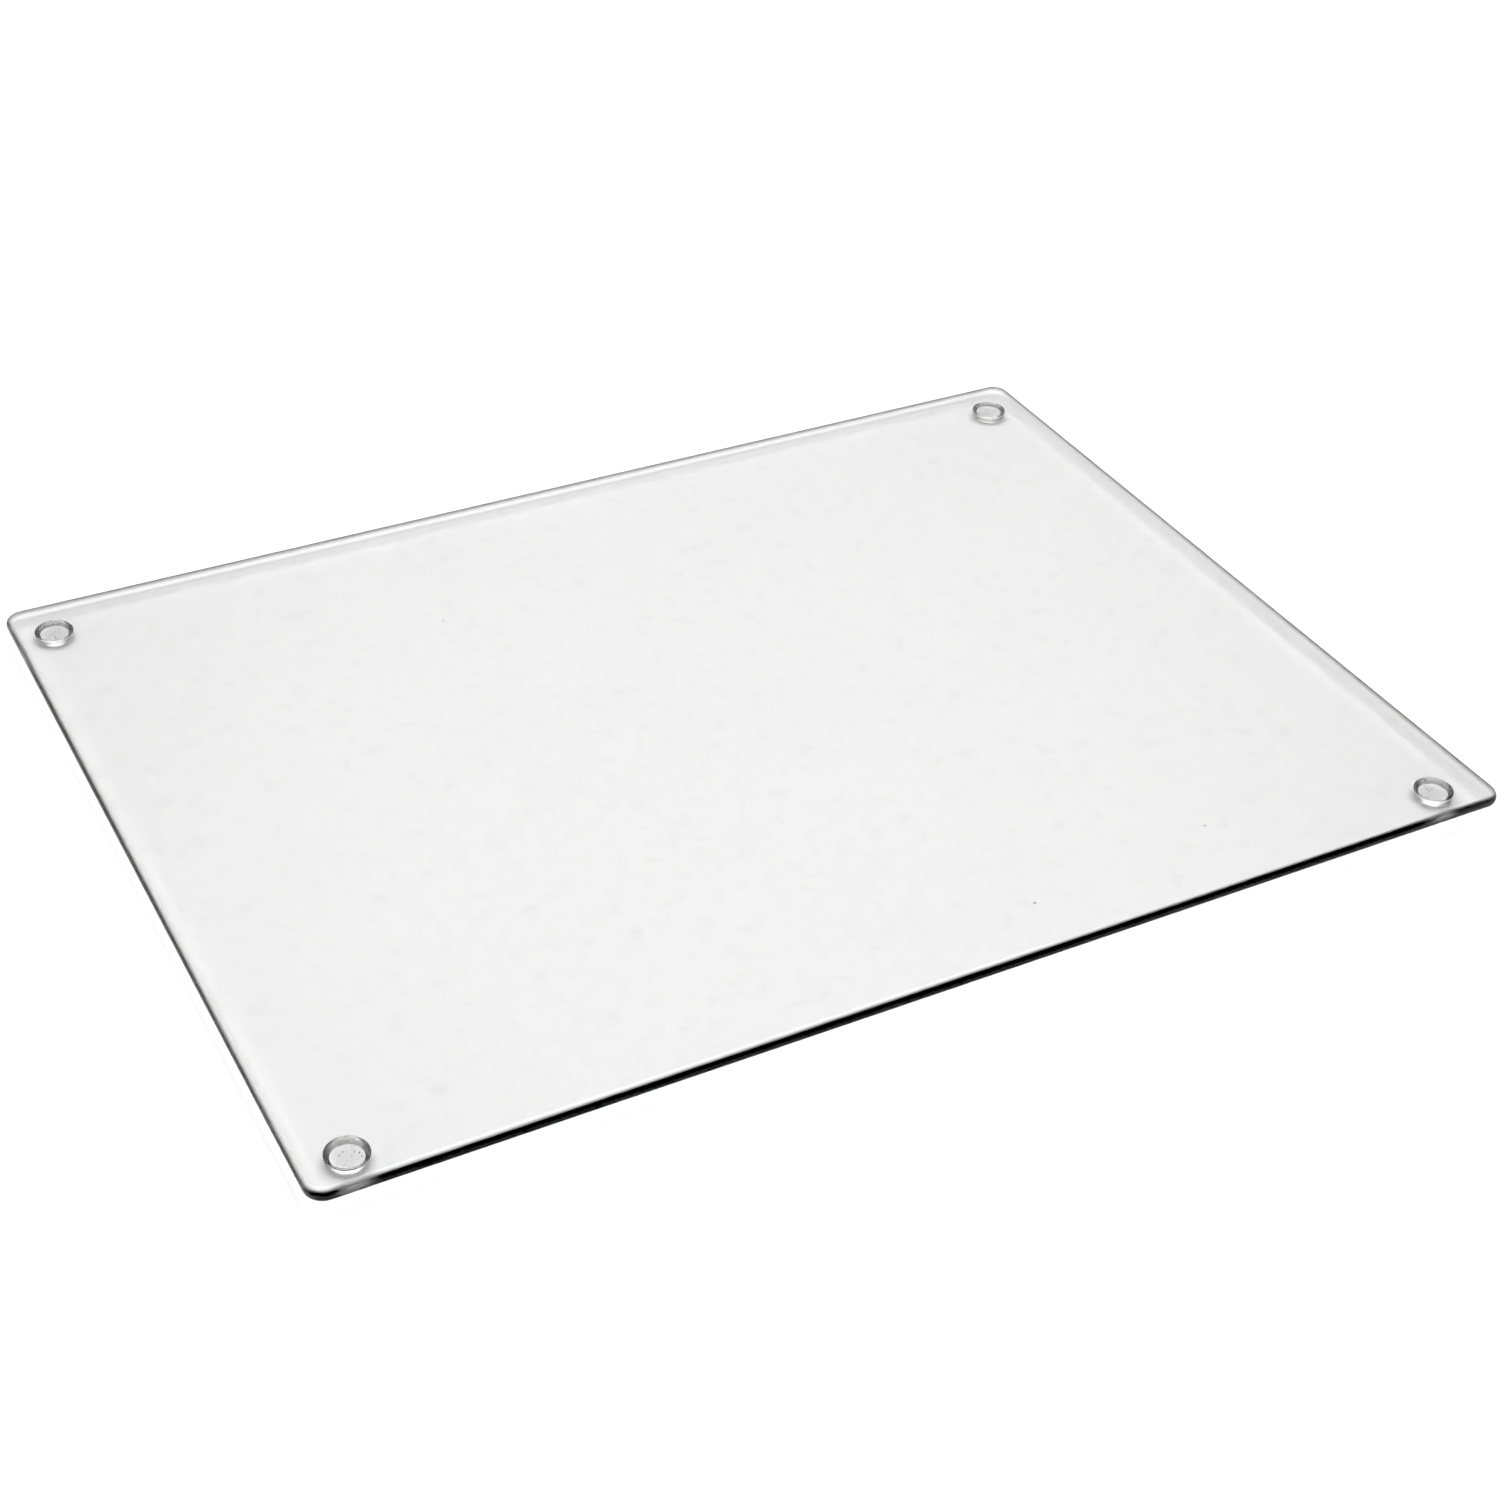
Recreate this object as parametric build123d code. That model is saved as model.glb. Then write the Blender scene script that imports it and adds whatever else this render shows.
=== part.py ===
"""Clear toughened-glass worktop board standing on four clear bumper feet.

The board is one rectangular glass panel with rounded corners and a pencil-polished edge.
A low, tapered, soft plastic bumper is bonded under each corner by its own adhesive disc,
so the glass stands a few millimetres clear of the surface and does not slide.

Frame: millimetres, +X along the long side, +Y along the short side, +Z up.
The origin is on the surface that the board stands on, under the middle of the panel.
"""

import os
from math import sqrt

from build123d import *

# Glass panel
PANEL_LENGTH = 400.0
PANEL_WIDTH = 300.0
PANEL_THICKNESS = 4.0
PANEL_CORNER_RADIUS = 6.0
EDGE_LAND = 0.3              # upright strip left between the two rounds of the pencil edge

# Bumper feet
FOOT_DIAMETER = 12.7         # at the bonded rim
FOOT_CONTACT_DIAMETER = 9.5  # across the flat that meets the worktop, before its rounding
FOOT_HEIGHT = 3.5
FOOT_RIM_BAND = 0.4          # short upright band next to the glass
FOOT_RIM_ROUND = 0.15        # softening of the bonded rim
FOOT_CONTACT_ROUND = 0.5     # softening of the edge that meets the worktop
FOOT_SIDE_BULGE = 0.18       # how far the tapered side swells past a straight cone
FOOT_EDGE_MARGIN = 8.0       # from the panel's edge to the foot's rim, before its hand setting

# The feet are stuck on by hand: how far each sits in from its nominal place, along X and Y
FOOT_SETTING = {
    "front_left": (0.8, -0.8),
    "front_right": (2.8, -0.4),
    "back_left": (-0.8, 0.3),
    "back_right": (-0.4, 0.2),
}

# Adhesive discs
ADHESIVE_THICKNESS = 0.15
ADHESIVE_SETBACK = 0.35      # how far the adhesive stops inside the foot's rim

# Places that follow from the sizes above
ADHESIVE_BOTTOM = FOOT_HEIGHT
PANEL_BOTTOM = ADHESIVE_BOTTOM + ADHESIVE_THICKNESS
EDGE_ROUND = (PANEL_THICKNESS - EDGE_LAND) / 2
FOOT_INSET = FOOT_EDGE_MARGIN + FOOT_DIAMETER / 2
FOOT_X = PANEL_LENGTH / 2 - FOOT_INSET
FOOT_Y = PANEL_WIDTH / 2 - FOOT_INSET

# Which way each corner lies along X and Y
CORNERS = {
    "front_left": (-1, -1),
    "front_right": (1, -1),
    "back_left": (-1, 1),
    "back_right": (1, 1),
}


def make_panel():
    """Return the glass panel: a slab with rounded corners and a pencil-polished edge."""
    with BuildPart() as panel:
        with BuildSketch(Plane.XY.offset(PANEL_BOTTOM)):
            RectangleRounded(PANEL_LENGTH, PANEL_WIDTH, PANEL_CORNER_RADIUS)
        extrude(amount=PANEL_THICKNESS)
        rims = panel.edges().group_by(Axis.Z)
        fillet(rims[0] + rims[-1], EDGE_ROUND)
    return panel.part


def make_foot():
    """Return one bumper foot, turned about Z, with its contact face on the worktop."""
    rim_radius = FOOT_DIAMETER / 2
    contact_radius = FOOT_CONTACT_DIAMETER / 2
    band_bottom = FOOT_HEIGHT - FOOT_RIM_BAND
    taper = rim_radius - contact_radius
    slant = sqrt(taper**2 + band_bottom**2)
    side_middle = (
        (rim_radius + contact_radius) / 2 + FOOT_SIDE_BULGE * band_bottom / slant,
        band_bottom / 2 - FOOT_SIDE_BULGE * taper / slant,
    )
    with BuildPart() as foot:
        with BuildSketch(Plane.XZ):
            with BuildLine():
                Polyline((contact_radius, 0), (0, 0), (0, FOOT_HEIGHT), (rim_radius, FOOT_HEIGHT))
                Line((rim_radius, FOOT_HEIGHT), (rim_radius, band_bottom))
                ThreePointArc((rim_radius, band_bottom), side_middle, (contact_radius, 0))
            make_face()
        revolve(axis=Axis.Z)
        rims = foot.edges().filter_by(GeomType.CIRCLE).group_by(Axis.Z)
        fillet(rims[0], FOOT_CONTACT_ROUND)
        rims = foot.edges().filter_by(GeomType.CIRCLE).group_by(Axis.Z)
        fillet(rims[-1], FOOT_RIM_ROUND)
    return foot.part


def foot_place(corner):
    """Return the centre of one corner's foot: its nominal place, moved by its hand setting."""
    side_x, side_y = CORNERS[corner]
    in_x, in_y = FOOT_SETTING[corner]
    return side_x * (FOOT_X - in_x), side_y * (FOOT_Y - in_y)


def make_adhesive():
    """Return one adhesive disc, between a foot's top face and the glass."""
    with BuildPart() as disc:
        with BuildSketch(Plane.XY.offset(ADHESIVE_BOTTOM)):
            Circle(FOOT_DIAMETER / 2 - ADHESIVE_SETBACK)
        extrude(amount=ADHESIVE_THICKNESS)
    return disc.part


def build():
    """Return every node of the board by name."""
    nodes = {"glass_panel": make_panel()}
    foot = make_foot()
    adhesive = make_adhesive()
    for corner in CORNERS:
        place = Location((*foot_place(corner), 0))
        nodes[f"foot_{corner}"] = foot.moved(place)
        nodes[f"adhesive_{corner}"] = adhesive.moved(place)
    return nodes


os.makedirs("parts", exist_ok=True)
for name, solid in build().items():
    export_step(solid, f"parts/{name}.step")
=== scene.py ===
"""Looks of a clear toughened-glass worktop board that stands on four clear bumper feet.

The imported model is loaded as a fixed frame. Each of its nodes is replaced by a finer, dressed
piece of the same size: the glass panel, four soft feet and the four adhesive discs that hold them.
All sizes are metres in the frame's own axes: +X along the long side, +Z up, floor at zero.
"""

import logging
import math
from dataclasses import dataclass
from enum import Enum
from typing import Any

import bpy
from mathutils import Matrix, Vector


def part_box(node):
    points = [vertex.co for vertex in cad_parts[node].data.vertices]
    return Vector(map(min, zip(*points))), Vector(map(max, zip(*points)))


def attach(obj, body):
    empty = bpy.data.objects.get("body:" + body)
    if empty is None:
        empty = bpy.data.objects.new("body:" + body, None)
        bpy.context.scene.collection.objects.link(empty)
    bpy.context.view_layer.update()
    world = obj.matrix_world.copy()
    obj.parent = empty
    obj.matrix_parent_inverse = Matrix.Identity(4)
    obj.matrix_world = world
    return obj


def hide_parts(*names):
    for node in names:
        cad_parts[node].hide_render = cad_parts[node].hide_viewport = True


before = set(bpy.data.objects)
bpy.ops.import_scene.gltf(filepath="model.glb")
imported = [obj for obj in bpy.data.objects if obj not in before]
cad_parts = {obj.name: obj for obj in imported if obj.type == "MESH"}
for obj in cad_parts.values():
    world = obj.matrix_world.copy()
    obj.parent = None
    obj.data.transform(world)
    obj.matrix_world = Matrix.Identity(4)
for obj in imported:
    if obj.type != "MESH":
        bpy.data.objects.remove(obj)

LOG = logging.getLogger("glass_board")
MM = 0.001
MICRON = 0.000001
WELD = 0.5 * MICRON
MOST_BUBBLES = 1.0e6  # to a square metre, before the spacing thins them
FIELD_SIDES = 48  # of the circle that the bubbles are strewn over
BUBBLE_DIVISIONS = 2
SMALL_BIAS = 2.0  # how strongly small bubbles outnumber large ones
LEVEL = Vector((1, 1, 0))
BODY = "root"

Point2 = tuple[float, float]
Socket = bpy.types.NodeSocket
Step = tuple[bpy.types.NodeTree, dict[str, Any]]


class Slot(Enum):
    """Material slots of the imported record."""

    GLASS = "clear_glass"
    POLYURETHANE = "clear_polyurethane"
    ADHESIVE = "clear_adhesive"


class Corner(Enum):
    """Corners of the board, each with a foot and its adhesive disc."""

    FRONT_LEFT = "front_left"
    FRONT_RIGHT = "front_right"
    BACK_LEFT = "back_left"
    BACK_RIGHT = "back_right"


class Mark(Enum):
    """Named attributes that the meshes carry for their materials."""

    BONDED = "bonded"
    PROFILE_RUN = "profile_run"


class Outline(Enum):
    """Shape of the line that a profile is carried round."""

    RECTANGLE = False
    CIRCLE = True


# ---------------------------------------------------------------------------------------------
# Node trees
# ---------------------------------------------------------------------------------------------


class Tree:
    """Adds nodes to a node tree, fills their inputs and joins them, in few words."""

    def __init__(self, tree: bpy.types.NodeTree) -> None:
        """Keep the tree that the other methods add to.

        Args:
            tree: a shader tree or a Geometry Nodes tree.
        """
        self.tree = tree

    def add(
        self, kind: str, inputs: dict[Any, Any] | None = None, **settings: Any
    ) -> bpy.types.Node:
        """Add one node.

        Args:
            kind: the node's type name.
            inputs: values or output sockets, by input name or number.
            **settings: the node's own properties.

        Returns:
            The new node.
        """
        node = self.tree.nodes.new(kind)
        for name, value in settings.items():
            setattr(node, name, value)
        for key, value in (inputs or {}).items():
            self.feed(node.inputs[key], value)
        return node

    def feed(self, socket: Socket, value: Any) -> None:
        """Join an output to an input, or set the input's own value.

        Args:
            socket: the input.
            value: an output socket, or a plain value.
        """
        if isinstance(value, bpy.types.NodeSocket):
            self.tree.links.new(value, socket)
        else:
            socket.default_value = value

    def math(self, operation: str, first: Any, second: Any = 0.0) -> Socket:
        """Join two values by a Math node.

        Args:
            operation: the node's operation, such as ADD.
            first: a number or an output socket.
            second: the same.

        Returns:
            The node's output.
        """
        return self.add("ShaderNodeMath", {0: first, 1: second}, operation=operation).outputs[0]

    def height_of(self, place: Socket) -> Socket:
        """Return the Z of a vector."""
        return self.add("ShaderNodeSeparateXYZ", {0: place}).outputs["Z"]


class ShapeTree(Tree):
    """A Geometry Nodes tree with named inputs."""

    def __init__(self, name: str, sizes: dict[str, str]) -> None:
        """Make the tree with its inputs and its two ends.

        Args:
            name: the tree's name.
            sizes: each input's name and socket type.
        """
        super().__init__(bpy.data.node_groups.new(name, "GeometryNodeTree"))
        face = self.tree.interface
        face.new_socket("Geometry", in_out="INPUT", socket_type="NodeSocketGeometry")
        for size, kind in sizes.items():
            face.new_socket(size, in_out="INPUT", socket_type=kind)
        face.new_socket("Geometry", in_out="OUTPUT", socket_type="NodeSocketGeometry")
        self.given = self.add("NodeGroupInput").outputs
        self.end = self.add("NodeGroupOutput").inputs

    def join(self, *parts: Socket) -> Socket:
        """Join several geometries into one.

        Args:
            *parts: the geometries, in the order that they are joined.

        Returns:
            The joined geometry.
        """
        node = self.add("GeometryNodeJoinGeometry")
        for part in parts:
            self.tree.links.new(part, node.inputs[0])
        return node.outputs[0]

    def mark(self, shape: Socket, name: Mark, value: Any, domain: str) -> Socket:
        """Store a named number on a geometry.

        Args:
            shape: the geometry.
            name: the attribute.
            value: a number or a field.
            domain: where it is stored, such as FACE or POINT.

        Returns:
            The geometry with the attribute.
        """
        store = self.add("GeometryNodeStoreNamedAttribute", domain=domain, data_type="FLOAT")
        self.feed(store.inputs["Geometry"], shape)
        self.feed(store.inputs["Name"], name.value)
        self.feed(store.inputs["Value"], value)
        return store.outputs[0]

    def finish(self, shape: Socket) -> bpy.types.NodeTree:
        """Close the tree with Realize Instances and Set Material.

        Args:
            shape: the finished geometry.

        Returns:
            The whole tree.
        """
        real = self.add("GeometryNodeRealizeInstances", {"Geometry": shape}).outputs[0]
        dressed = self.add(
            "GeometryNodeSetMaterial",
            {"Geometry": real, "Material": self.given["Finish"]},
        )
        self.feed(self.end["Geometry"], dressed.outputs[0])
        return self.tree


def spot_input(corner: Corner) -> str:
    """Return the name of the tree's input for the glued spot near one corner."""
    return f"Spot {corner.value}"


def swept_body_tree() -> bpy.types.NodeTree:
    """Build the tree that carries a profile round an outline and closes it with flat caps.

    The profile is the modifier's own mesh: a line of points whose X runs outwards from the
    outline and whose Y is the height. Faces that are glued to a neighbour are marked as bonded.

    Returns:
        The Geometry Nodes tree.
    """
    t = ShapeTree(
        "swept_body",
        {
            "Round": "NodeSocketBool",
            "Length": "NodeSocketFloat",
            "Width": "NodeSocketFloat",
            "Corner Radius": "NodeSocketFloat",
            "Corner Steps": "NodeSocketInt",
            "Circle Steps": "NodeSocketInt",
            "Top Bonded": "NodeSocketFloat",
            "Bottom Bonded": "NodeSocketFloat",
            "Spot Radius": "NodeSocketFloat",
            **{spot_input(corner): "NodeSocketVector" for corner in Corner},
            "Profile Length": "NodeSocketFloat",
            "Place": "NodeSocketVector",
            "Finish": "NodeSocketMaterial",
        },
    )
    g = t.given
    box = t.add(
        "GeometryNodeCurvePrimitiveQuadrilateral",
        {"Width": g["Length"], "Height": g["Width"]},
    )
    corners = {"Curve": box.outputs[0], "Count": g["Corner Steps"], "Radius": g["Corner Radius"]}
    rounded = t.add("GeometryNodeFilletCurve", corners, mode="POLY")
    ring = t.add(
        "GeometryNodeCurvePrimitiveCircle",
        {"Resolution": g["Circle Steps"], "Radius": g["Corner Radius"]},
        mode="RADIUS",
    )
    outline = t.add(
        "GeometryNodeSwitch",
        {"Switch": g["Round"], "False": rounded.outputs[0], "True": ring.outputs[0]},
        input_type="GEOMETRY",
    )
    profile = t.add("GeometryNodeMeshToCurve", {"Mesh": g["Geometry"]})
    wall = t.add(
        "GeometryNodeCurveToMesh",
        {"Curve": outline.outputs[0], "Profile Curve": profile.outputs[0]},
    ).outputs[0]
    wall = t.mark(wall, Mark.BONDED, 0.0, "FACE")

    rim_edges = t.add(
        "FunctionNodeCompare",
        {2: t.add("GeometryNodeInputMeshEdgeNeighbors").outputs[0], 3: 1},
        data_type="INT",
        operation="EQUAL",
    )
    rims = t.add("GeometryNodeMeshToCurve", {"Mesh": wall, "Selection": rim_edges.outputs[0]})
    bounds = t.add("GeometryNodeBoundBox", {"Geometry": wall})
    low = t.height_of(bounds.outputs["Min"])
    high = t.height_of(bounds.outputs["Max"])
    middle = t.math("MULTIPLY", t.math("ADD", low, high), 0.5)
    height = t.height_of(t.add("GeometryNodeInputPosition").outputs[0])
    is_top = t.math("GREATER_THAN", height, middle)
    halves = t.add(
        "GeometryNodeSeparateGeometry",
        {"Geometry": rims.outputs[0], "Selection": is_top},
        domain="CURVE",
    )

    spot = t.add(
        "GeometryNodeCurvePrimitiveCircle",
        {"Resolution": g["Circle Steps"], "Radius": g["Spot Radius"]},
        mode="RADIUS",
    ).outputs[0]
    moved = [
        t.add("GeometryNodeTransform", {"Geometry": spot, "Translation": g[spot_input(corner)]})
        for corner in Corner
    ]
    spots = t.join(*(node.outputs[0] for node in moved))
    has_spots = t.math("GREATER_THAN", g["Spot Radius"], 0.0)
    spots = t.add(
        "GeometryNodeSwitch",
        {"Switch": has_spots, "True": spots},
        input_type="GEOMETRY",
    ).outputs[0]

    def cap(loops: Socket, level: Socket, bonded: Any, run: Any, faces_down: bool) -> Socket:
        """Fill flat loops, lift the face to its level, and store its two marks.

        Args:
            loops: closed flat curves, the inner ones leaving holes.
            level: the height that the face is lifted to.
            bonded: 1 where the face is glued to a neighbour, otherwise 0.
            run: the face's run along the profile.
            faces_down: whether the face looks down.

        Returns:
            The face.
        """
        lift = t.add("ShaderNodeCombineXYZ", {"Z": level}).outputs[0]
        face = t.add("GeometryNodeFillCurve", {"Curve": loops}, mode="NGONS").outputs[0]
        face = t.add("GeometryNodeTransform", {"Geometry": face, "Translation": lift}).outputs[0]
        if faces_down:
            face = t.add("GeometryNodeFlipFaces", {"Mesh": face}).outputs[0]
        face = t.mark(face, Mark.PROFILE_RUN, run, "POINT")
        return t.mark(face, Mark.BONDED, bonded, "FACE")

    top = cap(halves.outputs["Selection"], high, g["Top Bonded"], g["Profile Length"], False)
    bottom = cap(t.join(halves.outputs["Inverted"], spots), low, g["Bottom Bonded"], 0.0, True)
    glued = cap(spots, low, 1.0, 0.0, True)
    body = t.add(
        "GeometryNodeMergeByDistance",
        {"Geometry": t.join(wall, top, bottom, glued), "Distance": WELD},
    ).outputs[0]
    smooth = t.add("GeometryNodeSetShadeSmooth", {"Geometry": body}).outputs[0]
    placed = t.add("GeometryNodeTransform", {"Geometry": smooth, "Translation": g["Place"]})
    return t.finish(placed.outputs[0])


def trapped_air_tree() -> bpy.types.NodeTree:
    """Build the tree that leaves small, flat air bubbles inside a thin disc.

    Returns:
        The Geometry Nodes tree.
    """
    t = ShapeTree(
        "trapped_air",
        {
            "Seed": "NodeSocketInt",
            "Reach": "NodeSocketFloat",
            "Spacing": "NodeSocketFloat",
            "Smallest": "NodeSocketFloat",
            "Largest": "NodeSocketFloat",
            "Flatness": "NodeSocketFloat",
            "Place": "NodeSocketVector",
            "Finish": "NodeSocketMaterial",
        },
    )
    g = t.given
    field = t.add(
        "GeometryNodeMeshCircle",
        {"Vertices": FIELD_SIDES, "Radius": g["Reach"]},
        fill_type="NGON",
    )
    spread = t.add(
        "GeometryNodeDistributePointsOnFaces",
        {
            "Mesh": field.outputs[0],
            "Distance Min": g["Spacing"],
            "Density Max": MOST_BUBBLES,
            "Seed": g["Seed"],
        },
        distribute_method="POISSON",
    )
    ball = t.add("GeometryNodeMeshIcoSphere", {"Radius": 1.0, "Subdivisions": BUBBLE_DIVISIONS})
    draw = t.add("FunctionNodeRandomValue", {"Seed": g["Seed"]}, data_type="FLOAT").outputs["Value"]
    share = t.math("POWER", draw, SMALL_BIAS)
    spare = t.math("SUBTRACT", g["Largest"], g["Smallest"])
    size = t.math("ADD", g["Smallest"], t.math("MULTIPLY", share, spare))
    flat = t.math("MULTIPLY", size, g["Flatness"])
    shape = t.add("ShaderNodeCombineXYZ", {"X": size, "Y": size, "Z": flat})
    dotted = t.add(
        "GeometryNodeInstanceOnPoints",
        {
            "Points": spread.outputs["Points"],
            "Instance": ball.outputs["Mesh"],
            "Scale": shape.outputs[0],
        },
    )
    air = t.add("GeometryNodeRealizeInstances", {"Geometry": dotted.outputs[0]}).outputs[0]
    air = t.add("GeometryNodeTransform", {"Geometry": air, "Translation": g["Place"]}).outputs[0]
    air = t.add("GeometryNodeSetShadeSmooth", {"Geometry": air}).outputs[0]
    hollow = t.add("GeometryNodeFlipFaces", {"Mesh": air}).outputs[0]
    return t.finish(t.join(g["Geometry"], hollow))


def grow(name: str, seed: bpy.types.Mesh, *steps: Step) -> bpy.types.Object:
    """Run Geometry Nodes trees one after the other and keep the result as one plain mesh.

    Args:
        name: the finished piece's name.
        seed: the mesh that the first tree starts from.
        *steps: each tree with its inputs by name.

    Returns:
        The finished object, at the origin, with no modifier.
    """
    holder = bpy.data.objects.new(name + "_seed", seed)
    bpy.context.scene.collection.objects.link(holder)
    for tree, sizes in steps:
        modifier = holder.modifiers.new(tree.name, "NODES")
        modifier.node_group = tree
        for item in tree.interface.items_tree:
            if item.in_out == "INPUT" and item.name in sizes:
                modifier[item.identifier] = sizes[item.name]
    view = bpy.context.evaluated_depsgraph_get()
    mesh = bpy.data.meshes.new_from_object(
        holder.evaluated_get(view), preserve_all_data_layers=True, depsgraph=view
    )
    mesh.name = name
    mesh.materials.clear()
    mesh.materials.append(steps[-1][1]["Finish"])
    bpy.data.objects.remove(holder)
    bpy.data.meshes.remove(seed)
    piece = bpy.data.objects.new(name, mesh)
    bpy.context.scene.collection.objects.link(piece)
    return piece


# ---------------------------------------------------------------------------------------------
# Profiles
# ---------------------------------------------------------------------------------------------


@dataclass(frozen=True)
class Knee:
    """One corner point of a profile: its place and the radius that rounds it."""

    out: float
    height: float
    radius: float = 0.0
    steps: int = 1


def rounded(knees: list[Knee]) -> list[Point2]:
    """Round the corners of an open line by arcs that meet its runs smoothly.

    Args:
        knees: the line's corner points in order.

    Returns:
        The points of the rounded line.
    """
    points: list[Point2] = []
    for before, knee, after in zip([None, *knees], knees, [*knees[1:], None]):
        here = Vector((knee.out, knee.height))
        if before is None or after is None or knee.radius <= 0:
            points.append(tuple(here))
            continue
        back = (Vector((before.out, before.height)) - here).normalized()
        on = (Vector((after.out, after.height)) - here).normalized()
        half = back.angle(on) / 2
        reach = knee.radius / math.tan(half)
        centre = here + (back + on).normalized() * (knee.radius / math.sin(half))
        start = here + back * reach - centre
        turn = math.pi - 2 * half
        side = math.copysign(1.0, start.x * on.y - start.y * on.x)
        for step in range(knee.steps + 1):
            angle = side * turn * step / knee.steps
            cos, sin = math.cos(angle), math.sin(angle)
            arm = Vector((start.x * cos - start.y * sin, start.x * sin + start.y * cos))
            points.append(tuple(centre + arm))
    return points


def run_along(points: list[Point2]) -> list[float]:
    """Measure how far each point of a line lies from its start, along the line.

    Args:
        points: the line's points in order.

    Returns:
        The distances, the first of them zero.
    """
    runs = [0.0]
    for here, there in zip(points, points[1:]):
        runs.append(runs[-1] + math.dist(here, there))
    return runs


def profile_mesh(name: str, points: list[Point2]) -> bpy.types.Mesh:
    """Make the line mesh that the swept-body tree starts from.

    Args:
        name: the mesh's name.
        points: the profile, outwards and upwards.

    Returns:
        A mesh of points and edges, each point marked with its run along the profile.
    """
    mesh = bpy.data.meshes.new(name + "_profile")
    steps = [(i, i + 1) for i in range(len(points) - 1)]
    mesh.from_pydata([(out, -height, 0.0) for out, height in reversed(points)], steps, [])
    runs = run_along(points)[::-1]
    mesh.attributes.new(Mark.PROFILE_RUN.value, "FLOAT", "POINT").data.foreach_set("value", runs)
    return mesh


# ---------------------------------------------------------------------------------------------
# Finishes
# ---------------------------------------------------------------------------------------------


class Material(Tree):
    """A new material with an empty node tree and a Principled shader on its surface."""

    def __init__(self, name: str) -> None:
        """Make the material, its shader and its output.

        Args:
            name: the material's name.
        """
        self.material = bpy.data.materials.new(name)
        self.material.use_nodes = True
        super().__init__(self.material.node_tree)
        self.tree.nodes.clear()
        self.shader = self.add("ShaderNodeBsdfPrincipled")
        self.end = self.add("ShaderNodeOutputMaterial", {"Surface": self.shader.outputs[0]})
        self.place = self.add("ShaderNodeTexCoord").outputs["Object"]

    def noise(self, scale: float, detail: float, place: Socket | None = None) -> Socket:
        """Return the value of a noise texture.

        Args:
            scale: features per metre.
            detail: how many finer layers are added.
            place: the coordinates, or the object's own if left out.

        Returns:
            The noise, from 0 to 1.
        """
        values = {"Vector": place or self.place, "Scale": scale, "Detail": detail}
        return self.add("ShaderNodeTexNoise", values).outputs["Fac"]

    def span(self, value: Socket, low: float, high: float, to_low: float, to_high: float) -> Socket:
        """Map a value from one span to another, held at both ends.

        Args:
            value: the number to map.
            low: where the first span starts.
            high: where the first span ends.
            to_low: what the first span's start becomes.
            to_high: what its end becomes.

        Returns:
            The mapped number.
        """
        limits = {"From Min": low, "From Max": high, "To Min": to_low, "To Max": to_high}
        return self.add("ShaderNodeMapRange", {"Value": value, **limits}, clamp=True).outputs["Result"]

    def grey(self, shade: Socket) -> Socket:
        """Return a grey colour of a given shade."""
        return self.add("ShaderNodeCombineColor", {0: shade, 1: shade, 2: shade}).outputs[0]

    def attribute(self, name: Mark) -> Socket:
        """Return a named attribute of the mesh as a number."""
        return self.add("ShaderNodeAttribute", attribute_name=name.value).outputs["Fac"]

    def bump(self, height: Socket, depth: float, under: Socket | None = None) -> Socket:
        """Return a normal that is bumped by a height.

        Args:
            height: the height, from 0 to 1.
            depth: the relief in metres that a height of 1 stands for.
            under: a normal that this one is added to.

        Returns:
            The bumped normal.
        """
        node = self.add("ShaderNodeBump", {"Height": height, "Distance": depth, "Strength": 1.0})
        if under is not None:
            self.feed(node.inputs["Normal"], under)
        return node.outputs[0]

    def absorb(self, per_metre: float) -> None:
        """Fill the inside with a clear, colourless medium that takes some of the light.

        Args:
            per_metre: the rate at which it takes light, per metre of its depth.
        """
        black = (0.0, 0.0, 0.0, 1.0)
        inside = self.add("ShaderNodeVolumeAbsorption", {"Color": black, "Density": per_metre})
        self.feed(self.end.inputs["Volume"], inside.outputs[0])


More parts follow.
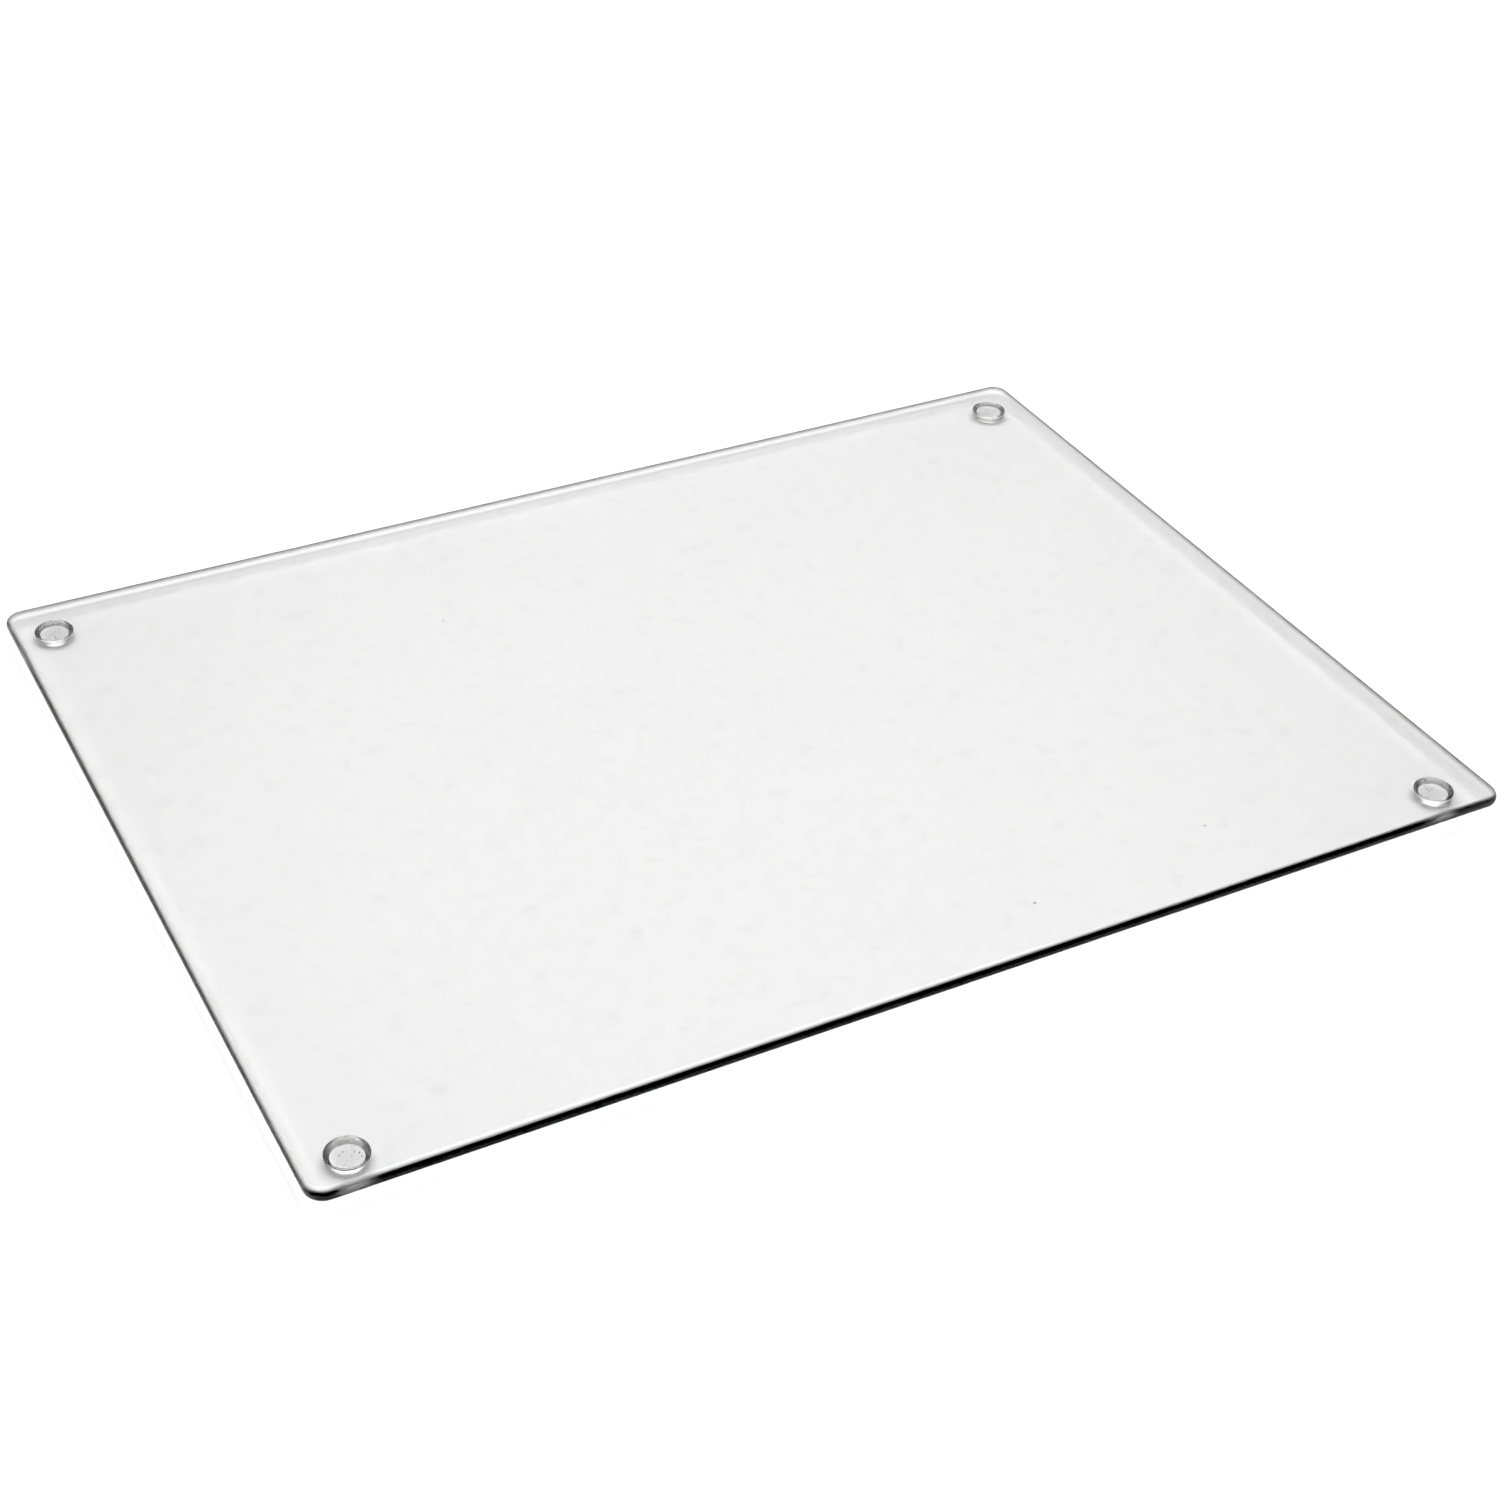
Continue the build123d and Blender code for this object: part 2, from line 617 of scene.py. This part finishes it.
@dataclass(frozen=True)
class ClearFinish:
    """A clear, solid medium: how it bends, takes and scatters light.

    Scales are features per metre, depths and spacings are metres, tints and shares are from
    0 to 1, and a detail is how many finer layers a noise has.
    """

    name: str
    ior: float
    tint: float
    absorbed_per_metre: float
    roughness: float
    satin: float
    wave_scale: float
    wave_depth: float
    grain_scale: float
    grain_depth: float
    speck_spacing: float
    speck_radius: float
    speck_share: float
    speck_tint: float
    wave_detail: float = 1.0
    grain_detail: float = 3.0
    smear_detail: float = 4.0
    smear_ratio: float = 1.7
    smear_cut: tuple[float, float] = (0.45, 0.75)

    def make(self) -> bpy.types.Material:
        """Build the material.

        Returns:
            A glass-like material whose bonded faces pass light straight through.
        """
        m = Material(self.name)
        bonded = m.attribute(Mark.BONDED)
        free = m.math("SUBTRACT", 1.0, bonded)
        m.feed(m.shader.inputs["Base Color"], self.colour(m))
        m.feed(m.shader.inputs["Transmission Weight"], 1.0)
        m.feed(m.shader.inputs["IOR"], m.span(bonded, 0.0, 1.0, self.ior, 1.0))
        m.feed(m.shader.inputs["Roughness"], m.math("MULTIPLY", self.dullness(m), free))
        m.feed(m.shader.inputs["Normal"], self.relief(m))
        m.absorb(self.absorbed_per_metre)
        return m.material

    def colour(self, m: Material) -> Socket:
        """Return the tint that each surface gives the light."""
        return m.grey(m.span(self.specks(m), 0.0, 1.0, self.tint, self.speck_tint))

    def specks(self, m: Material) -> Socket:
        """Scatter specks of dust, at most one to a cell.

        Args:
            m: the material.

        Returns:
            1 where a speck lies and 0 elsewhere.
        """
        cells = m.add(
            "ShaderNodeTexVoronoi",
            {"Vector": m.place, "Scale": 1 / self.speck_spacing, "Randomness": 1.0},
            voronoi_dimensions="2D",
        )
        away = m.math("MULTIPLY", cells.outputs["Distance"], self.speck_spacing)
        chance = m.add("ShaderNodeSeparateColor", {0: cells.outputs["Color"]}).outputs[0]
        size = m.span(chance, 0.0, self.speck_share, self.speck_radius, 0.0)
        return m.math("LESS_THAN", away, size)

    def dullness(self, m: Material) -> Socket:
        """Return the roughness, which drifts between clear and satin."""
        smear = m.noise(self.wave_scale * self.smear_ratio, self.smear_detail)
        return m.span(smear, *self.smear_cut, self.roughness, self.satin)

    def relief(self, m: Material) -> Socket:
        """Return the normal: slow waves with a fine grain on them."""
        wave = m.bump(m.noise(self.wave_scale, self.wave_detail), self.wave_depth)
        return m.bump(m.noise(self.grain_scale, self.grain_detail), self.grain_depth, under=wave)


@dataclass(frozen=True)
class GlassFinish(ClearFinish):
    """Toughened glass with a ground and polished edge, a few specks of dust and fine scratches."""

    edge_start: float = 0.45 * MM
    edge_end: float = 6.45 * MM
    edge_blend: float = 0.25 * MM
    edge_satin: float = 0.38
    # painted shade: the rounded edge is greyed so that the glass's outline looks dark
    painted_shade_blend: float = 1.5 * MM
    edge_painted_shade: float = 0.4
    line_pitch: float = 0.06 * MM
    line_length: float = 30 * MM
    line_depth: float = 0.8 * MICRON
    line_detail: float = 3.0
    film_scale: float = 170.0
    film_detail: float = 4.0
    film_cut: tuple[float, float] = (0.56, 0.72)
    film_tint: float = 0.95
    scratch_pitch: float = 2.2 * MM
    scratch_depth: float = 0.1 * MICRON
    scratch_turn: float = 0.5
    scratch_stretch: float = 0.04
    scratch_cut: tuple[float, float] = (0.66, 0.7)
    scratch_detail: float = 2.0

    def edge(self, m: Material, blend: float) -> Socket:
        """Tell the rounded edge from the flat faces by the run along the profile.

        Args:
            m: the material.
            blend: the width of the change between them, in metres.

        Returns:
            1 on the rounded edge and 0 on the flat faces.
        """
        run = m.attribute(Mark.PROFILE_RUN)
        rise = m.span(run, self.edge_start, self.edge_start + blend, 0.0, 1.0)
        fall = m.span(run, self.edge_end - blend, self.edge_end, 1.0, 0.0)
        return m.math("MULTIPLY", rise, fall)

    def lines(self, m: Material) -> Socket:
        """Draw the polishing lines, which run along the edge.

        Args:
            m: the material.

        Returns:
            The lines' height, from 0 to 1.
        """
        across = m.math("DIVIDE", m.attribute(Mark.PROFILE_RUN), self.line_pitch)
        along = m.add(
            "ShaderNodeVectorMath",
            {0: m.place, "Scale": 1 / self.line_length},
            operation="SCALE",
        )
        parts = m.add("ShaderNodeSeparateXYZ", {0: along.outputs[0]})
        place = m.add(
            "ShaderNodeCombineXYZ",
            {"X": parts.outputs["X"], "Y": parts.outputs["Y"], "Z": across},
        )
        return m.noise(1.0, self.line_detail, place=place.outputs[0])

    def colour(self, m: Material) -> Socket:
        """Tint the glass: clear faces with a faint film and specks, and an edge greyed by painted shade
        that darkens its outline.

        Args:
            m: the material.

        Returns:
            The colour that each surface gives the light.
        """
        film = m.span(m.noise(self.film_scale, self.film_detail), *self.film_cut, 1.0, self.film_tint)
        # painted shade: grey the rounded edge so that its outline looks dark
        grey = m.span(self.edge(m, self.painted_shade_blend), 0.0, 1.0, 1.0, self.edge_painted_shade)
        clear = m.span(self.specks(m), 0.0, 1.0, self.tint, self.speck_tint)
        return m.grey(m.math("MULTIPLY", m.math("MULTIPLY", clear, film), grey))

    def specks(self, m: Material) -> Socket:
        """Return 1 where a speck lies, on the upper face alone."""
        upper = m.math("GREATER_THAN", m.attribute(Mark.PROFILE_RUN), self.edge_end)
        return m.math("MULTIPLY", super().specks(m), upper)

    def dullness(self, m: Material) -> Socket:
        """Return the roughness: clear faces with faint smears, and a satin edge."""
        ground = m.math("MULTIPLY", self.edge(m, self.edge_blend), self.edge_satin)
        return m.math("MAXIMUM", super().dullness(m), ground)

    def relief(self, m: Material) -> Socket:
        """Shape the surface: roller waves, fine scratches, and the edge's polishing lines.

        Args:
            m: the material.

        Returns:
            The bumped normal.
        """
        stretch = m.add(
            "ShaderNodeMapping",
            {
                "Vector": m.place,
                "Rotation": (0.0, 0.0, self.scratch_turn),
                "Scale": (1.0, self.scratch_stretch, 1.0),
            },
        )
        marks = m.noise(1 / self.scratch_pitch, self.scratch_detail, place=stretch.outputs[0])
        fine = m.span(marks, *self.scratch_cut, 0.0, 1.0)
        scratched = m.bump(fine, self.scratch_depth, under=super().relief(m))
        lined = m.math("MULTIPLY", self.lines(m), self.edge(m, self.edge_blend))
        return m.bump(lined, self.line_depth, under=scratched)


@dataclass(frozen=True)
class FloorFinish:
    """Plain pale floor, matt."""

    shade: float = 0.94
    roughness: float = 0.9

    def make(self) -> bpy.types.Material:
        """Build the floor's material.

        Returns:
            A plain, matt material.
        """
        m = Material("pale_floor")
        m.feed(m.shader.inputs["Base Color"], (self.shade, self.shade, self.shade, 1.0))
        m.feed(m.shader.inputs["Roughness"], self.roughness)
        m.feed(m.shader.inputs["Specular IOR Level"], 0.0)
        return m.material


TOUGHENED_GLASS = GlassFinish(
    name="toughened_glass",
    ior=1.52,
    tint=0.995,
    absorbed_per_metre=40.0,
    roughness=0.0,
    satin=0.01,
    wave_scale=22.0,
    wave_depth=3 * MICRON,
    grain_scale=1400.0,
    grain_depth=0.02 * MICRON,
    speck_spacing=34 * MM,
    speck_radius=0.5 * MM,
    speck_share=0.12,
    speck_tint=0.35,
)
SOFT_POLYURETHANE = ClearFinish(
    name="soft_polyurethane",
    ior=1.49,
    tint=0.98,
    absorbed_per_metre=10.0,
    roughness=0.2,
    satin=0.3,
    wave_scale=400.0,
    wave_depth=6 * MICRON,
    grain_scale=5000.0,
    grain_depth=0.3 * MICRON,
    speck_spacing=2.2 * MM,
    speck_radius=0.3 * MM,
    speck_share=0.5,
    speck_tint=0.6,
)
CLEAR_ADHESIVE = ClearFinish(
    name="wetted_adhesive",
    ior=1.48,
    tint=0.98,
    absorbed_per_metre=10.0,
    roughness=0.12,
    satin=0.2,
    wave_scale=600.0,
    wave_depth=2 * MICRON,
    grain_scale=6000.0,
    grain_depth=0.3 * MICRON,
    speck_spacing=1.3 * MM,
    speck_radius=0.3 * MM,
    speck_share=0.35,
    speck_tint=0.3,
)


# ---------------------------------------------------------------------------------------------
# Pieces
# ---------------------------------------------------------------------------------------------


def ride_in_place_of(piece: bpy.types.Object, node: str) -> None:
    """Give a finished piece its body and the node that it stands for.

    Args:
        piece: the finished piece.
        node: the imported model's node.
    """
    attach(piece, BODY)
    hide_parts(node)
    LOG.info("%s: %d faces in place of %s", piece.name, len(piece.data.polygons), node)


@dataclass
class GlassPanel:
    """The toughened glass sheet, with rounded corners and a pencil-polished edge."""

    tree: bpy.types.NodeTree
    finish: bpy.types.Material
    bonds: dict[Corner, Vector]
    bond_radius: float
    node: str = "glass_panel"
    corner_radius: float = 6.0 * MM
    edge_land: float = 0.3 * MM
    flat_rim: float = 0.4 * MM
    round_steps: int = 14
    corner_steps: int = 20
    circle_steps: int = 96

    def profile(self) -> list[Point2]:
        """Draw the edge's section.

        Returns:
            Its points, from the underside's rim to the top's rim.
        """
        low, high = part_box(self.node)
        bend = self.edge_round()
        return rounded(
            [
                Knee(-self.flat_rim, low.z),
                Knee(bend, low.z, bend, self.round_steps),
                Knee(bend, high.z, bend, self.round_steps),
                Knee(-self.flat_rim, high.z),
            ]
        )

    def edge_round(self) -> float:
        """Return the radius of the two rounds of the pencil edge."""
        low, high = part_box(self.node)
        return (high.z - low.z - self.edge_land) / 2

    def build(self) -> bpy.types.Object:
        """Sweep the edge round the panel, close it and dress it.

        Returns:
            The finished panel.
        """
        low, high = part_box(self.node)
        bend = self.edge_round()
        section = self.profile()
        middle = (low + high) / 2 * LEVEL
        sizes = {
            "Round": Outline.RECTANGLE.value,
            "Length": high.x - low.x - 2 * bend,
            "Width": high.y - low.y - 2 * bend,
            "Corner Radius": self.corner_radius - bend,
            "Corner Steps": self.corner_steps,
            "Circle Steps": self.circle_steps,
            "Top Bonded": 0.0,
            "Bottom Bonded": 0.0,
            "Spot Radius": self.bond_radius,
            **{spot_input(corner): (at - middle)[:] for corner, at in self.bonds.items()},
            "Profile Length": run_along(section)[-1],
            "Place": middle[:],
            "Finish": self.finish,
        }
        piece = grow("clear_panel", profile_mesh(self.node, section), (self.tree, sizes))
        ride_in_place_of(piece, self.node)
        return piece


@dataclass
class BumperFoot:
    """One clear, soft, tapered foot under a corner of the glass."""

    tree: bpy.types.NodeTree
    finish: bpy.types.Material
    corner: Corner
    contact_radius: float = 4.75 * MM
    contact_rim: float = 0.75 * MM
    contact_round: float = 0.5 * MM
    contact_steps: int = 8
    side_bulge: float = 0.18 * MM
    side_steps: int = 8
    rim_band: float = 0.4 * MM
    band_round: float = 0.3 * MM
    band_steps: int = 4
    rim_round: float = 0.15 * MM
    rim_steps: int = 6
    flat_rim: float = 0.15 * MM
    circle_steps: int = 96

    def profile(self, bond_radius: float) -> list[Point2]:
        """Return the foot's section, from its contact face to its bonded face.

        Args:
            bond_radius: the radius of the adhesive, which the section is measured from.

        Returns:
            The section's points.
        """
        low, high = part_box(self.node)
        rim, top = (high.x - low.x) / 2, high.z
        band = top - self.rim_band
        taper = rim - self.contact_radius
        side = []
        for step in range(1, self.side_steps):
            share = step / self.side_steps
            swell = self.side_bulge * 4 * share * (1 - share)
            side.append(Knee(self.contact_radius + taper * share + swell, band * share))
        knees = [
            Knee(self.contact_radius - self.contact_rim, low.z),
            Knee(self.contact_radius, low.z, self.contact_round, self.contact_steps),
            *side,
            Knee(rim, band, self.band_round, self.band_steps),
            Knee(rim, top, self.rim_round, self.rim_steps),
            Knee(bond_radius + self.flat_rim, top),
            Knee(bond_radius, top),
        ]
        return [(out - bond_radius, height) for out, height in rounded(knees)]

    @property
    def node(self) -> str:
        """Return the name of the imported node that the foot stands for."""
        return f"foot_{self.corner.value}"

    def build(self, bond_radius: float) -> bpy.types.Object:
        """Turn the foot's section round its axis and dress it.

        Args:
            bond_radius: the radius of the adhesive on the foot's top.

        Returns:
            The finished foot.
        """
        low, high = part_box(self.node)
        section = self.profile(bond_radius)
        sizes = {
            "Round": Outline.CIRCLE.value,
            "Corner Radius": bond_radius,
            "Circle Steps": self.circle_steps,
            "Top Bonded": 1.0,
            "Bottom Bonded": 0.0,
            "Spot Radius": 0.0,
            "Profile Length": run_along(section)[-1],
            "Place": ((low + high) / 2 * LEVEL)[:],
            "Finish": self.finish,
        }
        seed = profile_mesh(self.node, section)
        piece = grow(f"soft_foot_{self.corner.value}", seed, (self.tree, sizes))
        ride_in_place_of(piece, self.node)
        return piece


@dataclass
class AdhesiveDisc:
    """One clear adhesive disc between a foot and the glass, with a few trapped air bubbles."""

    tree: bpy.types.NodeTree
    bubbles: bpy.types.NodeTree
    finish: bpy.types.Material
    corner: Corner
    skin: float = 4 * MICRON
    flat_rim: float = 0.1 * MM
    edge_round: float = 0.03 * MM
    edge_steps: int = 3
    circle_steps: int = 96
    first_seed: int = 11
    bubble_margin: float = 0.6 * MM
    bubble_spacing: float = 1.4 * MM
    smallest_bubble: float = 0.09 * MM
    largest_bubble: float = 0.28 * MM
    bubble_flatness: float = 0.22

    def build(self) -> bpy.types.Object:
        """Make the disc and dress it.

        Returns:
            The finished disc.
        """
        node = f"adhesive_{self.corner.value}"
        low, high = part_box(node)
        radius = (high.x - low.x) / 2
        bottom, top = low.z + self.skin, high.z - self.skin
        section = rounded(
            [
                Knee(-self.flat_rim, bottom),
                Knee(0.0, bottom, self.edge_round, self.edge_steps),
                Knee(0.0, top, self.edge_round, self.edge_steps),
                Knee(-self.flat_rim, top),
            ]
        )
        sizes = {
            "Round": Outline.CIRCLE.value,
            "Corner Radius": radius,
            "Circle Steps": self.circle_steps,
            "Top Bonded": 1.0,
            "Bottom Bonded": 1.0,
            "Spot Radius": 0.0,
            "Profile Length": run_along(section)[-1],
            "Place": ((low + high) / 2 * LEVEL)[:],
            "Finish": self.finish,
        }
        air = {
            "Seed": list(Corner).index(self.corner) + self.first_seed,
            "Reach": radius - self.bubble_margin,
            "Spacing": self.bubble_spacing,
            "Smallest": self.smallest_bubble,
            "Largest": self.largest_bubble,
            "Flatness": self.bubble_flatness,
            "Place": ((low + high) / 2)[:],
            "Finish": self.finish,
        }
        piece = grow(
            f"clear_bond_{self.corner.value}",
            profile_mesh(node, section),
            (self.tree, sizes),
            (self.bubbles, air),
        )
        ride_in_place_of(piece, node)
        return piece


# ---------------------------------------------------------------------------------------------
# Studio
# ---------------------------------------------------------------------------------------------


@dataclass
class Studio:
    """Plain pale floor, soft light and the camera.

    Angles are degrees. The horizon and the top of the wall are heights of a direction, from 0 at
    the floor to 1 overhead.
    """

    azimuth: float = -29.48
    elevation: float = 36.33
    roll: float = 2.58
    distance: float = 821.8 * MM
    focal_length: float = 61.16
    film: float = 36.0
    nearest: float = 10 * MM
    aim: tuple[float, float, float] = (-4.2 * MM, -22.0 * MM, 3.65 * MM)
    floor_radius: float = 0.95
    floor_facets: int = 128
    floor_gap: float = 15 * MICRON
    overhead_size: float = 2.2
    overhead_height: float = 1.5
    overhead_back: float = 0.1
    overhead_power: float = 38.0
    horizon: float = 0.7
    low_sky: float = 0.1
    high_sky: float = 1.15
    wall: float = 0.9
    wall_top: float = 0.4
    glow: float = 0.5
    glow_angle: float = 17.0
    glow_towards: tuple[float, float, float] = (0.397, 0.701, 0.592)
    backdrop: float = 1.0
    black_level: float = 0.06
    clear_bounces: int = 32
    glossy_bounces: int = 16
    diffuse_bounces: int = 6

    def lay_floor(self) -> None:
        """Lay a round floor just under the feet."""
        mesh = bpy.data.meshes.new("pale_floor")
        turns = [math.tau * i / self.floor_facets for i in range(self.floor_facets)]
        flat = [(self.floor_radius * math.cos(a), self.floor_radius * math.sin(a)) for a in turns]
        mesh.from_pydata([(x, y, -self.floor_gap) for x, y in flat], [], [tuple(range(len(flat)))])
        mesh.materials.append(FloorFinish().make())
        floor = bpy.data.objects.new("pale_floor", mesh)
        bpy.context.scene.collection.objects.link(floor)

    def hang_lamp(self) -> None:
        """Hang one large, soft lamp over the board."""
        lamp = bpy.data.lights.new("overhead", "AREA")
        lamp.shape = "SQUARE"
        lamp.size = self.overhead_size
        lamp.energy = self.overhead_power
        panel = bpy.data.objects.new("overhead", lamp)
        panel.location = (0.0, self.overhead_back, self.overhead_height)
        bpy.context.scene.collection.objects.link(panel)

    def ramp(self, t: Tree, value: Socket, start: float, end: float, low: float, high: float) -> Socket:
        """Blend smoothly from one brightness to another.

        Args:
            t: the sky's tree.
            value: what the brightness follows.
            start: the value where the blend starts.
            end: the value where it ends.
            low: the brightness at the start and before it.
            high: the brightness at the end and past it.

        Returns:
            The brightness.
        """
        limits = {"Value": value, "From Min": start, "From Max": end, "To Min": low, "To Max": high}
        return t.add("ShaderNodeMapRange", limits, interpolation_type="SMOOTHSTEP").outputs[0]

    def paint_sky(self) -> None:
        """Surround the board with a sky: bright above, dim at the sides, with a pale wall round it."""
        world = bpy.data.worlds.new("studio")
        world.use_nodes = True
        t = Tree(world.node_tree)
        t.tree.nodes.clear()
        towards = t.add("ShaderNodeTexCoord").outputs["Generated"]
        up = t.height_of(towards)
        facing = t.add(
            "ShaderNodeVectorMath",
            {0: towards, 1: self.glow_towards},
            operation="DOT_PRODUCT",
        ).outputs["Value"]
        glow_edge = math.cos(math.radians(self.glow_angle))
        shade = self.ramp(t, up, self.horizon, 1.0, self.low_sky, self.high_sky)
        glow = self.ramp(t, facing, glow_edge, 1.0, 0.0, self.glow)
        wall = self.ramp(t, up, self.wall_top, 0.0, 0.0, self.wall)
        light = t.math("ADD", t.math("ADD", shade, glow), wall)
        seen = t.add("ShaderNodeLightPath").outputs["Is Camera Ray"]
        strength = t.add("ShaderNodeMix", {0: seen, 2: light, 3: self.backdrop}).outputs[0]
        sky = t.add("ShaderNodeBackground", {"Color": (1, 1, 1, 1), "Strength": strength})
        t.add("ShaderNodeOutputWorld", {"Surface": sky.outputs[0]})
        bpy.context.scene.world = world

    def set_camera(self) -> None:
        """Place the camera above and to the front left of the board."""
        angles = (self.azimuth, self.elevation, self.roll)
        azimuth, elevation, roll = (math.radians(angle) for angle in angles)
        back = Vector(
            (
                math.sin(azimuth) * math.cos(elevation),
                -math.cos(azimuth) * math.cos(elevation),
                math.sin(elevation),
            )
        )
        right = (-back).cross(Vector((0, 0, 1))).normalized()
        up = right.cross(-back)
        tilted_right = right * math.cos(roll) + up * math.sin(roll)
        tilted_up = up * math.cos(roll) - right * math.sin(roll)
        lens = bpy.data.cameras.new("camera")
        lens.lens = self.focal_length
        lens.sensor_width = self.film
        lens.clip_start = self.nearest
        camera = bpy.data.objects.new("camera", lens)
        turn = Matrix((tilted_right, tilted_up, back)).transposed().to_4x4()
        place = Vector(self.aim) + back * self.distance
        camera.matrix_world = Matrix.Translation(place) @ turn
        bpy.context.scene.collection.objects.link(camera)
        bpy.context.scene.camera = camera

    def set_film(self) -> None:
        """Choose a plain tone curve, and enough bounces for light that runs inside the glass."""
        scene = bpy.context.scene
        scene.view_settings.view_transform = "Standard"
        scene.view_settings.look = "None"
        scene.view_settings.use_curve_mapping = True
        scene.view_settings.curve_mapping.black_level = (self.black_level,) * 3
        scene.cycles.max_bounces = self.clear_bounces
        scene.cycles.transmission_bounces = self.clear_bounces
        scene.cycles.glossy_bounces = self.glossy_bounces
        scene.cycles.diffuse_bounces = self.diffuse_bounces
        scene.cycles.blur_glossy = 0.0


def main() -> None:
    """Build the board's pieces in order, dress them, and set up the studio."""
    logging.basicConfig(level=logging.INFO, format="%(name)s: %(message)s")
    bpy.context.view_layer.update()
    tree, bubbles = swept_body_tree(), trapped_air_tree()
    glass = TOUGHENED_GLASS.make()
    foot_plastic = SOFT_POLYURETHANE.make()
    glue = CLEAR_ADHESIVE.make()

    boxes = {corner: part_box(f"adhesive_{corner.value}") for corner in Corner}
    bonds = {corner: (low + high) / 2 * LEVEL for corner, (low, high) in boxes.items()}
    low, high = boxes[Corner.FRONT_LEFT]
    bond_radius = (high.x - low.x) / 2
    GlassPanel(tree, glass, bonds, bond_radius).build()
    for corner in Corner:
        BumperFoot(tree, foot_plastic, corner).build(bond_radius)
        AdhesiveDisc(tree, bubbles, glue, corner).build()

    studio = Studio()
    studio.lay_floor()
    studio.hang_lamp()
    studio.paint_sky()
    studio.set_camera()
    studio.set_film()


if __name__ == "__main__":
    main()
